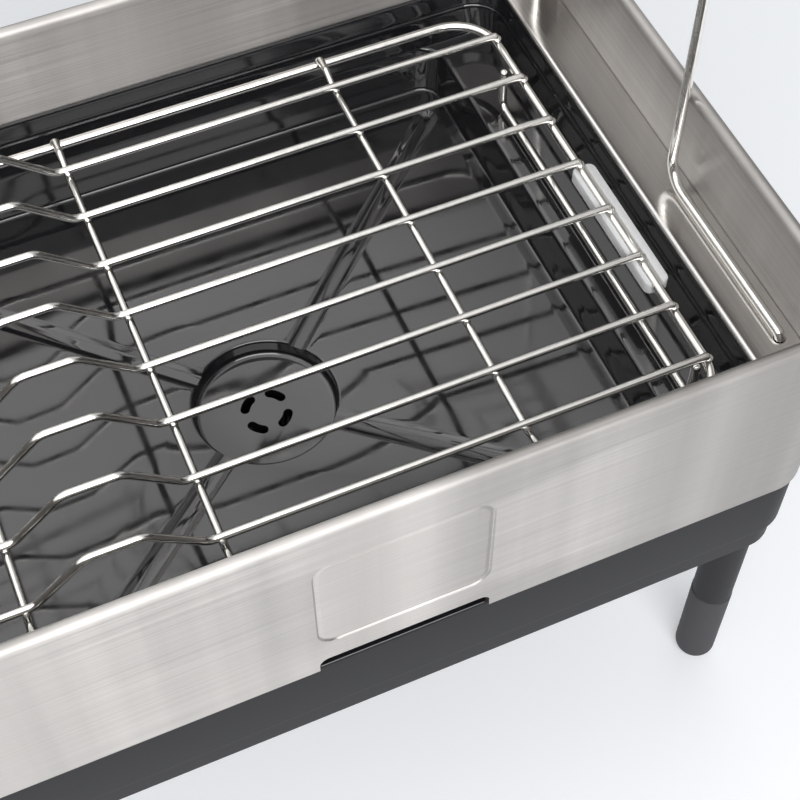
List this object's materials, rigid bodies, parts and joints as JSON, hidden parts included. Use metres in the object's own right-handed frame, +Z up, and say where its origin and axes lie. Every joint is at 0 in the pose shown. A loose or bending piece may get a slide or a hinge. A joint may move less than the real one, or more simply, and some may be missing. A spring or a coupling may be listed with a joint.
{
  "type": "two-tier dish rack",
  "caption": "Steel-sided dish rack on tall legs, with a lift-out wire rack over a glossy drip tray, a turning drain spout and a wire tier that stands on the side ledges.",
  "frame": {"origin": "On the floor, under the middle of the body's plan", "axes": "X runs along the front to the right, Y runs from the front to the back, Z is up"},
  "size_m": [0.454, 0.32, 0.53],
  "materials": {
    "matte_grey_plastic": "matte",
    "dark_rubber": "matte",
    "gloss_black_plastic": "glossy",
    "brushed_steel": "satin",
    "polished_wire": "polished",
    "white_plastic": "satin"
  },
  "bodies": {
    "base": {"base_frame": "matte_grey_plastic", "leg_front_left": "matte_grey_plastic", "leg_front_right": "matte_grey_plastic", "leg_back_left": "matte_grey_plastic", "leg_back_right": "matte_grey_plastic", "foot_cap_front_left": "dark_rubber", "foot_cap_front_right": "dark_rubber", "foot_cap_back_left": "dark_rubber", "foot_cap_back_right": "dark_rubber", "drip_tray": "gloss_black_plastic", "drain_spigot": "gloss_black_plastic", "spout_retainer": "matte_grey_plastic", "steel_band": "brushed_steel", "left_ledge": "brushed_steel", "right_ledge": "brushed_steel"},
    "spout": {"swivel_spout": "gloss_black_plastic"},
    "rack": {"rack_rim": "polished_wire", "plate_wire_1": "polished_wire", "plate_wire_2": "polished_wire", "plate_wire_3": "polished_wire", "plate_wire_4": "polished_wire", "plate_wire_5": "polished_wire", "plate_wire_6": "polished_wire", "plate_wire_7": "polished_wire", "plate_wire_8": "polished_wire", "cross_wire_left": "polished_wire", "cross_wire_middle": "polished_wire", "cross_wire_right": "polished_wire", "left_foot_rail": "polished_wire", "right_foot_rail": "polished_wire", "left_clip": "white_plastic", "right_clip": "white_plastic"},
    "tier": {"tier_side_left": "polished_wire", "tier_side_right": "polished_wire", "tier_rim": "polished_wire", "tier_cross_wire_1": "polished_wire", "tier_cross_wire_2": "polished_wire", "tier_cross_wire_3": "polished_wire", "tier_cross_wire_4": "polished_wire", "tier_cross_wire_5": "polished_wire", "tier_cross_wire_6": "polished_wire", "tier_floor_wire_1": "polished_wire", "tier_floor_wire_2": "polished_wire", "tier_floor_wire_3": "polished_wire", "tier_floor_wire_4": "polished_wire", "tier_floor_wire_5": "polished_wire"}
  },
  "joints": [
    {"name": "spout_swivel", "type": "hinge", "parent": "base", "child": "spout", "pos_m": [0, -0.014, 0.1508], "axis": [0, 0, 1], "continuous": true},
    {"name": "rack_lift", "type": "slide", "parent": "base", "child": "rack", "axis": [0, 0, 1], "range_m": [0, 0.1]},
    {"name": "tier_lift", "type": "slide", "parent": "base", "child": "tier", "axis": [0, 0, 1], "range_m": [0, 0.08]}
  ]
}
